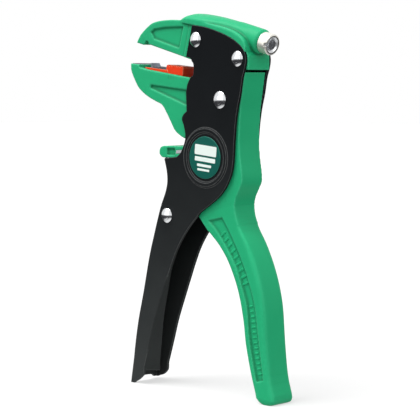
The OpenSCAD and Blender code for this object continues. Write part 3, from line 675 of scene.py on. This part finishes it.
def ease_back(piece):
    mesh = piece.data
    places = read(mesh.vertices, "co", 3).astype(np.float64)
    used = read(mesh.vertex_normals, "vector", 3)[:, 0] > FACES_BACK
    used &= np.abs(places[:, 1]) < MEASURED_HALF
    heights = places[:, 2]
    used &= (heights > EASE_FROM) & (heights < EASE_TO)
    shelf = (heights / MM).astype(int).clip(0)
    outmost = np.full(shelf.max() + 1, -1.0)
    np.maximum.at(outmost, shelf[used], places[used, 0])
    used &= places[:, 0] > outmost[shelf] - MEASURED_SKIN
    levels = np.arange(EASE_FROM, EASE_TO, LEVEL_STEP)
    measured_line = line_of(levels, heights[used], places[used, 0], MEASURE_REACH)
    eased_line = line_of(levels, heights[used], places[used, 0], EASE_REACH)
    ends = np.clip(np.minimum(levels - EASE_FROM, EASE_TO - levels) / FADE_OUT, 0.0, 1.0)
    change = (eased_line - measured_line) * ends
    depth = np.interp(heights, levels, measured_line) - places[:, 0]
    share = np.clip(1.0 - depth / EASE_DEPTH, 0.0, 1.0)
    shift = np.interp(heights, levels, change, left=0.0, right=0.0) * share
    places[:, 0] += shift
    mesh.vertices.foreach_set("co", places.astype(np.float32).ravel())
    mesh.update()
    print("the back moves by at most", round(float(np.abs(shift).max()) / MM, 2), "mm")


cast("handle_lever", "lever_casting", "lever", LEVER_VOXEL, ease=ease_back)

# %% [markdown]
# ## The pressed sheet
# The frame is one sheet, 1.4 mm thick, folded into a channel. Where it is cut its edges are crisp, but
# where it is folded the outside is round by nearly the sheet's own thickness. A bevel by weight gives
# both at once: an edge between a cheek and a wide face is a fold and gets the full width, and every
# other sharp edge gets a small share of it. So do the edges of the foot, whose corners are too sharp
# for a wide bevel. The last edge of a fold is cut into pieces, so that its round narrows in steps. The
# bevel still overshoots at the corner of the lip's end, and those points are set back. The far cheek's
# foot is cut a little shorter than the near one, as in the photograph.

# %% Folds of the sheet
FOLD_R = 1.1
CUT_SHARE = 0.16
INNER_SHARE = 0.35
FOOT_TOP = 12 * MM
WIDE_FACE = 3.0
OUTSIDE_FROM = 8.0
INSIDE_FROM = 6.5
END_WAYS = (8.0, 5.5, 3.5, 1.5)
END_SHARES = (0.8, 0.55, 0.35, CUT_SHARE)


def cheek_side(face):
    """1 for the outside of a cheek, -1 for its inside, 0 for any other face."""
    if abs(face.normal.y) < 0.995:
        return 0
    reach = abs(face.calc_center_median().y) / MM
    return 1 if reach > OUTSIDE_FROM else -1 if reach > INSIDE_FROM else 0


def spans(face):
    across = [v.co.y for v in face.verts]
    return (max(across) - min(across)) / MM


def cut_edge(edge, corner, share):
    """Cuts an edge in two at this share of it, and returns the piece at this corner."""
    new_vertex = bmesh.utils.edge_split(edge, corner, share)[1]
    return next(piece for piece in new_vertex.link_edges if corner in piece.verts)


def ease_end(edge, end, weight):
    """Makes the last fold edge of a row narrower towards its end, in steps."""
    length = edge.calc_length() / MM
    if length < END_WAYS[0] + 1.0:
        return
    for way, share in zip(END_WAYS, END_SHARES):
        edge = cut_edge(edge, end, way / length)
        edge[weight] = share
        length = way


def weigh_folds(mesh):
    shape = bmesh.new()
    shape.from_mesh(mesh)
    weight = shape.edges.layers.float.new("bevel_weight_edge")
    folds = []
    for edge in list(shape.edges):
        if len(edge.link_faces) != 2 or edge.calc_face_angle(0.0) < SHARP:
            continue
        sides = [cheek_side(face) for face in edge.link_faces]
        wide = max(spans(face) for face, side in zip(edge.link_faces, sides)
                   if side == 0) if 0 in sides else 0.0
        edge[weight] = CUT_SHARE
        low, high = sorted(edge.verts, key=lambda v: v.co.z)
        if wide <= WIDE_FACE or high.co.z < FOOT_TOP:
            continue
        if low.co.z < FOOT_TOP:
            edge = cut_edge(edge, high, (high.co.z - FOOT_TOP) / (high.co.z - low.co.z))
        if 1 in sides:
            edge[weight] = 1.0
            folds.append(edge)
        elif -1 in sides:
            edge[weight] = INNER_SHARE
    ends = [(edge, v) for edge in folds for v in edge.verts
            if sum(other[weight] == 1.0 for other in v.link_edges) == 1]
    for edge, end in ends:
        ease_end(edge, end, weight)
    shape.to_mesh(mesh)
    shape.free()
    return len(folds)


print("fold edges get", FOLD_R, "mm, cut edges", round(FOLD_R * CUT_SHARE, 2), "mm")

# %% Folded sheet
FAR_FOOT = 1.1 * MM
FOOT_ARCH = 2.6 * MM
LIP_X = (PIVOT_X - 49.6) * MM
LIP_Z = 4.9 * MM
sheet = copy_of("frame_channel", "frame_sheet")
for point in sheet.data.vertices:
    if point.co.y > 0.0 and point.co.z < FOOT_ARCH:
        point.co.z += FAR_FOOT * (1.0 - point.co.z / FOOT_ARCH)
print("fold edges:", weigh_folds(sheet.data))
sheet.data.materials.append(black_coat)
sheet.data.materials.append(black_coat)
bevel_edges(sheet, FOLD_R, method="WEIGHT", segments=3)
settle(sheet)
set_back = 0
for point in sheet.data.vertices:
    if point.co.x > LIP_X and point.co.z < LIP_Z:
        point.co.z = LIP_Z
        set_back += 1
print("lip corner points set back:", set_back)
mark_bevels(sheet.data)
hand_over(sheet, "frame", ["frame_channel"], black_coat)

# %% [markdown]
# ## Pieces grown by Geometry Nodes
# Rivets, springs and ribs repeat or follow a path. Each kind is one node tree with named sizes, which
# runs on a few points.

# %% Tree helpers


def new_tree(name, sizes):
    tree = bpy.data.node_groups.new(name, "GeometryNodeTree")
    tree.interface.new_socket("Points", in_out="INPUT", socket_type="NodeSocketGeometry")
    for label, value in sizes:
        socket = tree.interface.new_socket(label, in_out="INPUT", socket_type="NodeSocketFloat")
        socket.default_value = value
    tree.interface.new_socket("Finish", in_out="INPUT", socket_type="NodeSocketMaterial")
    tree.interface.new_socket("Parts", in_out="OUTPUT", socket_type="NodeSocketGeometry")
    return tree, tree.nodes.new("NodeGroupInput").outputs, tree.nodes.new("NodeGroupOutput")


def finish_tree(tree, geometry, g_in, g_out):
    """Ends a tree as every tree here ends: real parts, smooth, in their finish."""
    real = new_node(tree, "GeometryNodeRealizeInstances", {"Geometry": geometry})
    smooth = new_node(tree, "GeometryNodeSetShadeSmooth", {"Geometry": real.outputs["Geometry"]})
    dress = new_node(tree, "GeometryNodeSetMaterial",
                     {"Geometry": smooth.outputs["Geometry"], "Material": g_in["Finish"]})
    feed(tree, g_out, {"Parts": dress.outputs["Geometry"]})


def grow(name, tree, points, edges, values, sharp=40):
    """Runs a tree on these points and returns the plain piece, its faces turned outwards."""
    mesh = bpy.data.meshes.new(name)
    mesh.from_pydata([tuple(p) for p in points], edges, [])
    piece = linked(name, mesh)
    modifier = piece.modifiers.new(name, "NODES")
    modifier.node_group = tree
    for item in tree.interface.items_tree:
        if item.item_type == "SOCKET" and item.in_out == "INPUT" and item.name in values:
            modifier[item.identifier] = values[item.name]
    settle(piece)
    shape = bmesh.new()
    shape.from_mesh(piece.data)
    bmesh.ops.remove_doubles(shape, verts=shape.verts, dist=1e-6)
    bmesh.ops.recalc_face_normals(shape, faces=shape.faces)
    shape.to_mesh(piece.data)
    shape.free()
    piece.data.set_sharp_from_angle(angle=radians(sharp))
    return piece


print("tree helpers ready")

# %% [markdown]
# ## Rivets
# Four rivets hold the tool together, each with a domed head on either cheek. A head is a turned form, so
# the tree bends a grid round an axis: one way along the grid walks the outline from the near pole over
# the rim and along the shank to the far pole, and the other way goes round. The dome is a slice of a
# ball, whose size follows from the head's radius and height. A ring on the dome is the print of the
# riveting tool. The same tree makes both sizes.

# %% Rivet tree
DOME_STEPS = 16
LAST_ROW = 2 * DOME_STEPS + 5
ROUND_POINTS = 49
rivet_tree, size, g_out = new_tree(
    "domed rivet",
    [("Head radius", 3.4 * MM), ("Head height", 1.6 * MM), ("Rim", 0.25 * MM),
     ("Shank radius", 2.0 * MM), ("Half width", CHEEK * MM), ("Print depth", 0.07 * MM)])
grid = new_node(rivet_tree, "GeometryNodeMeshGrid",
                {"Vertices X": LAST_ROW + 1, "Vertices Y": ROUND_POINTS})
way = split_of(rivet_tree, grid.outputs["UV Map"])
calc = partial(maths, rivet_tree)
row = calc("ROUND", calc("MULTIPLY", way["X"], LAST_ROW))
near_row = calc("MINIMUM", row, calc("SUBTRACT", LAST_ROW, row))
on_dome = calc("MINIMUM", calc("DIVIDE", near_row, DOME_STEPS), 1.0)
past_rim = calc("GREATER_THAN", near_row, DOME_STEPS + 0.5)
on_shank = calc("GREATER_THAN", near_row, DOME_STEPS + 1.5)
print("rivet outline has", LAST_ROW + 1, "rows")

# %% Radius and height along the rivet's outline
PRINT_ROW = 9.0
above_rim = calc("SUBTRACT", size["Head height"], size["Rim"])
squares = calc("ADD", calc("POWER", size["Head radius"], 2.0), calc("POWER", above_rim, 2.0))
ball = calc("DIVIDE", squares, calc("MULTIPLY", above_rim, 2.0))
widest = calc("ARCSINE", calc("DIVIDE", size["Head radius"], ball))
lean = calc("MULTIPLY", on_dome, widest)
dome_r = calc("MULTIPLY", ball, calc("SINE", lean))
head_part = calc("MULTIPLY", dome_r, calc("SUBTRACT", 1.0, on_shank))
shank_part = calc("MULTIPLY", size["Shank radius"], on_shank)
radius = calc("ADD", head_part, shank_part)
ball_h = calc("MULTIPLY", ball, calc("COSINE", lean))
dome_h = calc("ADD", calc("SUBTRACT", ball_h, ball), above_rim)
off_print = calc("MINIMUM", calc("ABSOLUTE", calc("SUBTRACT", near_row, PRINT_ROW)), 1.0)
print_h = calc("MULTIPLY", size["Print depth"], calc("SUBTRACT", 1.0, off_print))
head_h = calc("SUBTRACT", calc("ADD", size["Rim"], dome_h), print_h)
height = calc("MULTIPLY", head_h, calc("SUBTRACT", 1.0, past_rim))
side = calc("SUBTRACT", calc("MULTIPLY", calc("GREATER_THAN", row, LAST_ROW / 2), 2.0), 1.0)
across = calc("MULTIPLY", side, calc("ADD", size["Half width"], height))
round_it = calc("MULTIPLY", way["Y"], 2 * pi)
place = joined(rivet_tree, calc("MULTIPLY", radius, calc("COSINE", round_it)), across,
               calc("MULTIPLY", radius, calc("SINE", round_it)))
bend = new_node(rivet_tree, "GeometryNodeSetPosition",
                {"Geometry": grid.outputs["Mesh"], "Position": place})
spread = new_node(rivet_tree, "GeometryNodeInstanceOnPoints",
                  {"Points": size["Points"], "Instance": bend.outputs["Geometry"]})
finish_tree(rivet_tree, spread.outputs["Instances"], size, g_out)
print("rivet tree has", len(rivet_tree.nodes), "nodes")

# %% The rivets
FRONT_RIVET = (-15.0, 27.2)
REAR_RIVET = (10.6, 18.3)
SPRING_RIVET = (-33.6, -53.9)
small_rivets = grow("small_rivets", rivet_tree, [at(*FRONT_RIVET), at(*REAR_RIVET), at(*SPRING_RIVET)],
                    [], {"Finish": rivet_steel})
hand_over(small_rivets, "frame", ["front_rivet", "rear_rivet", "spring_rivet"], rivet_steel)
main_rivet = grow("main_rivet", rivet_tree, [at(0, 0)], [],
                  {"Head radius": 3.85 * MM, "Shank radius": 2.5 * MM, "Finish": rivet_steel})
hand_over(main_rivet, "frame", ["pivot_rivet"], rivet_steel)

# %% [markdown]
# ## Springs
# A spring is a wire along a path: a coil from a short formula, with a straight leg where it has one. The
# tree gives the path the wire's round section and closed ends. The handle's torsion spring and the
# slide's push spring are made this way.

# %% Wire tree
wire_tree, g_in, g_out = new_tree("wound wire", [("Wire radius", 0.7 * MM)])
to_curve = new_node(wire_tree, "GeometryNodeMeshToCurve", {"Mesh": g_in["Points"]})
section = new_node(wire_tree, "GeometryNodeCurvePrimitiveCircle",
                   {"Resolution": 14, "Radius": g_in["Wire radius"]})
pull = new_node(wire_tree, "GeometryNodeCurveToMesh", {
    "Curve": to_curve.outputs["Curve"], "Profile Curve": section.outputs["Curve"], "Fill Caps": True})
finish_tree(wire_tree, pull.outputs["Mesh"], g_in, g_out)


def wire(name, path, radius, finish_used):
    steps = [(i, i + 1) for i in range(len(path) - 1)]
    return grow(name, wire_tree, path, steps, {"Wire radius": radius * MM, "Finish": finish_used})


print("wire tree has", len(wire_tree.nodes), "nodes")

# %% Return spring: three turns round the spring rivet and two legs
COIL_R = 3.05
COIL_HALF = 3.2
COIL_FROM = 197.0
COIL_TO = 73.0 - 3 * 360.0
COIL_STEPS = 192
coil = []
for i in range(COIL_STEPS + 1):
    turn = radians(COIL_FROM + (COIL_TO - COIL_FROM) * i / COIL_STEPS)
    coil.append(at(SPRING_RIVET[0] + COIL_R * cos(turn), SPRING_RIVET[1] + COIL_R * sin(turn),
                   -COIL_HALF + 2 * COIL_HALF * i / COIL_STEPS))
web_leg = [at(-45.7, -83.5, -COIL_HALF), at(-43.6, -75.2, -COIL_HALF), at(-40.5, -65.6, -COIL_HALF)]
return_wire = wire("return_spring_wire", web_leg + coil, 0.7, spring_steel)
hand_over(return_wire, "frame", ["return_spring"], spring_steel)

# %% [markdown]
# The leg on the lever's side swings and slides while the handles are squeezed. It is a wire of its own,
# drawn from the end of the coil, with a mesh of its own.

# %% Leg that presses on the lever
leg_tip = at(-12.7, -57.3, COIL_HALF)
lever_leg = wire("return_spring_leg", [coil[-1], at(-22.6, -54.2, COIL_HALF), leg_tip], 0.7, spring_steel)
hand_over(lever_leg, "frame", ["return_spring"], spring_steel)
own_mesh(lever_leg)

# %% [markdown]
# The push spring stands behind the upper slide. It is drawn short by the way of the adjuster's seat,
# which takes up that slack when the adjuster is screwed in. It keeps a mesh of its own.

# %% Slide spring: pushes the upper slide forward from the adjuster's seat
SLIDE_END = -11.802
SEAT_WAY = 2.4
SLIDE_COIL_R = 3.0
SLIDE_STEPS = 153
slide_coil = []
for i in range(SLIDE_STEPS + 1):
    turn = radians(10.0 * i)
    u = SLIDE_END - (SLIDE_END + SEAT_WAY) * i / SLIDE_STEPS
    x, z = along_slides(u, ADJUSTER_W + SLIDE_COIL_R * sin(turn))
    slide_coil.append(at(x, z, SLIDE_COIL_R * cos(turn)))
slide_wire = wire("slide_spring_wire", slide_coil, 0.4, spring_steel)
hand_over(slide_wire, "frame", ["slide_spring"], spring_steel)
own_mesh(slide_wire)

# %% [markdown]
# ## Steel, plastic and label
# The slides, blades, pads and screws sit deep in the jaws. They keep the CAD's outlines, with edges as
# fine as grinding leaves them.

# %% The steel in the jaws
crisp("upper_pad", "upper_pad_steel", "frame", 0.06, dark_steel)
crisp("lower_pad", "lower_pad_steel", "lower_jaw", 0.06, dark_steel)
crisp("upper_slide", "upper_slide_steel", "upper_slide", 0.15, dark_steel)
crisp("lower_slide", "lower_slide_steel", "lower_slide", 0.15, dark_steel)
crisp("upper_blade", "upper_blade_steel", "upper_slide", 0.04, blade_steel)
crisp("lower_blade", "lower_blade_steel", "lower_slide", 0.04, blade_steel)
crisp("upper_blade_screw", "upper_screw_steel", "upper_slide", 0.08, bright_steel)
crisp("lower_blade_screw", "lower_screw_steel", "lower_slide", 0.08, bright_steel)
crisp("cutter_blade", "cutter_steel", "lever", 0.05, bright_steel)
crisp("cutter_screws", "cutter_screw_steel", "lever", 0.05, bright_steel)
crisp("drive_pin", "drive_pin_steel", "lever", 0.15, bright_steel)
crisp("spring_seat", "spring_seat_steel", "spring_seat", 0.1, dark_steel)

# %% The red length stop
crisp("length_stop", "length_stop_red", "length_stop", 0.4, red_plastic, segments=4)

# %% [markdown]
# ## The clamping adjuster
# The barrel's hollow end is a shallow dish, and the screw's head stands in it almost up to the rim. The
# CAD model has a deep straight bore there. The points of its floor, and of the screw above it, move out
# along the axis, and the floor gets narrower, so that the straight wall becomes the side of the dish. At
# half a right angle that side mirrors the soft box above, which gives the bright crescent.

# %% Shallow dish
FLOOR_U = 13.0
BARREL_TOP = 13.5
SCREW_TOP = 20.0
BORE_R = 3.55
DISH_U = 15.6
HEAD_SHARE = 0.64
DISH_R = 2.5
NECK_R = 2.4
DISH_FROM = 3.3
NECK_FROM = 2.9


def shallow_dish(mesh, highest):
    moved = 0
    for point in mesh.vertices:
        x = point.co.x / MM - PIVOT_X
        z = point.co.z / MM - PIVOT_Z
        y = point.co.y / MM
        u = x * cos(SLIDE_TILT) - z * sin(SLIDE_TILT)
        w = x * sin(SLIDE_TILT) + z * cos(SLIDE_TILT) - ADJUSTER_W
        radius = hypot(w, y)
        if u < FLOOR_U - 0.05 or u > highest or radius > BORE_R:
            continue
        wanted = DISH_R if radius > DISH_FROM else NECK_R if radius > NECK_FROM else radius
        narrower = wanted / max(radius, 0.001)
        x, z = along_slides(DISH_U + (u - FLOOR_U) * HEAD_SHARE, ADJUSTER_W + w * narrower)
        point.co = at(x, z, y * narrower)
        moved += 1
    print("moved points:", moved)


# %% Barrel and screw
crisp("adjuster_knob", "adjuster_barrel", "adjuster", 0.1, pale_metal,
      reshape=lambda mesh: shallow_dish(mesh, BARREL_TOP))
crisp("adjuster_screw", "adjuster_core", "adjuster", 0.1, bright_steel,
      reshape=lambda mesh: shallow_dish(mesh, SCREW_TOP))

# %% [markdown]
# ## The label
# The real label carries print, which is left out. In its place the round film holds a plain pale panel
# and three plain bars. They are thin pads on the film, each a rounded rectangle, so that they stay sharp
# in any view. Their places are given from the label's centre, turned a little, as the print was.

# %% Label film
crisp("label_disc", "label_plate", "frame", 0.3, label_teal, segments=4)

# %% Pads of the label
LABEL = (-8.9, -26.2)
LABEL_FACE = -9.1
PRINT_T = 0.05
PRINT_TURN = radians(-5.4)
SUNK = 0.02
PAD_EDGE = 0.06
PAD_LEVELS = ((LABEL_FACE + SUNK, 0.0), (LABEL_FACE - PRINT_T, 0.0),
              (LABEL_FACE - PRINT_T - SUNK, PAD_EDGE))


def rounded(width, height, corner, steps=5):
    corners = [(1, 1, 0), (-1, 1, 90), (-1, -1, 180), (1, -1, 270)]
    outline = []
    for sx, sz, start in corners:
        for i in range(steps):
            a = radians(start + 90 * i / (steps - 1))
            outline.append((sx * (width / 2 - corner) + corner * cos(a),
                            sz * (height / 2 - corner) + corner * sin(a)))
    return outline


def add_pad(shape, centre, width, height, corner):
    rings = []
    for y, inset in PAD_LEVELS:
        ring = []
        for x, z in rounded(width - 2 * inset, height - 2 * inset, corner):
            x, z = x + centre[0], z + centre[1]
            turned_x = x * cos(PRINT_TURN) - z * sin(PRINT_TURN)
            turned_z = x * sin(PRINT_TURN) + z * cos(PRINT_TURN)
            ring.append(shape.verts.new(at(LABEL[0] + turned_x, LABEL[1] + turned_z, y)))
        rings.append(ring)
    for low, high in zip(rings, rings[1:]):
        for i in range(len(low)):
            j = (i + 1) % len(low)
            shape.faces.new((low[i], low[j], high[j], high[i]))
    shape.faces.new(rings[-1])
    shape.faces.new(rings[0])


pads = bmesh.new()
add_pad(pads, (0.3, 3.3), 13.4, 4.6, 0.5)
add_pad(pads, (0.3, -0.9), 12.6, 2.0, 0.3)
add_pad(pads, (0.0, -3.7), 8.8, 1.2, 0.3)
add_pad(pads, (-0.3, -5.7), 7.4, 1.0, 0.3)
bmesh.ops.recalc_face_normals(pads, faces=pads.faces)
pads_mesh = bpy.data.meshes.new("label_pads")
pads.to_mesh(pads_mesh)
pads.free()
label_pads = linked("label_pads", pads_mesh)
hand_over(label_pads, "frame", [], label_print)

# %% [markdown]
# ## Ribs on the grip
# The sunk panel along the grip carries raised marks on the real tool. Plain cross ribs stand in their
# place on both sides, in a larger group above and a finer one below. Each is a rounded bar, half sunk
# into the panel's floor, and the tree sets one every few millimetres along the panel's middle line,
# turned with the line.

# %% Rib tree
rib_tree, g_in, g_out = new_tree(
    "ribs along a line",
    [("Pitch", 3.1 * MM), ("Rib width", 1.2 * MM), ("Rib height", 0.7 * MM), ("Rib length", 3.6 * MM)])
to_curve = new_node(rib_tree, "GeometryNodeMeshToCurve", {"Mesh": g_in["Points"]})
evenly = rib_tree.nodes.new("GeometryNodeResampleCurve")
evenly.mode = "LENGTH"
feed(rib_tree, evenly, {"Curve": to_curve.outputs["Curve"], "Length": g_in["Pitch"]})
bar_size = joined(rib_tree, g_in["Rib width"], g_in["Rib height"], g_in["Rib length"])
bar = new_node(rib_tree, "GeometryNodeMeshCube", {"Size": bar_size})
rounder = new_node(rib_tree, "GeometryNodeSubdivisionSurface",
                   {"Mesh": bar.outputs["Mesh"], "Level": 2, "Edge Crease": 0.35})
tangent = rib_tree.nodes.new("GeometryNodeInputTangent")
turn = new_node(rib_tree, "FunctionNodeAlignRotationToVector", {"Vector": tangent.outputs[0]})
turn.axis = "X"
turn.pivot_axis = "Y"
spread = new_node(rib_tree, "GeometryNodeInstanceOnPoints", {
    "Points": evenly.outputs["Curve"], "Instance": rounder.outputs["Mesh"],
    "Rotation": turn.outputs["Rotation"]})
finish_tree(rib_tree, spread.outputs["Instances"], g_in, g_out)
print("rib tree has", len(rib_tree.nodes), "nodes")

# %% The ribs
PANEL_FLOOR = 6.3
upper_line = [(0.2, -60.5), (7.3, -69.3), (12.4, -78.5), (13.8, -82.0)]
lower_line = [(17.2, -92.0), (18.2, -97.0), (19.3, -105.0), (20.8, -114.3), (22.6, -122.0)]


def rib_rows(line):
    """One row of points on each side of the grip."""
    points = []
    steps = []
    for side in (-1, 1):
        first = len(points)
        points += [at(x, z, side * PANEL_FLOOR) for x, z in line]
        steps += [(first + i, first + i + 1) for i in range(len(line) - 1)]
    return points, steps


upper_ribs = grow("upper_grip_ribs", rib_tree, *rib_rows(upper_line), {"Finish": green_paint}, sharp=60)
hand_over(upper_ribs, "lever", [], green_paint)
lower_ribs = grow("lower_grip_ribs", rib_tree, *rib_rows(lower_line),
                  {"Pitch": 2.3 * MM, "Rib width": 0.9 * MM, "Rib height": 0.6 * MM,
                   "Rib length": 2.4 * MM, "Finish": green_paint}, sharp=60)
hand_over(lower_ribs, "lever", [], green_paint)
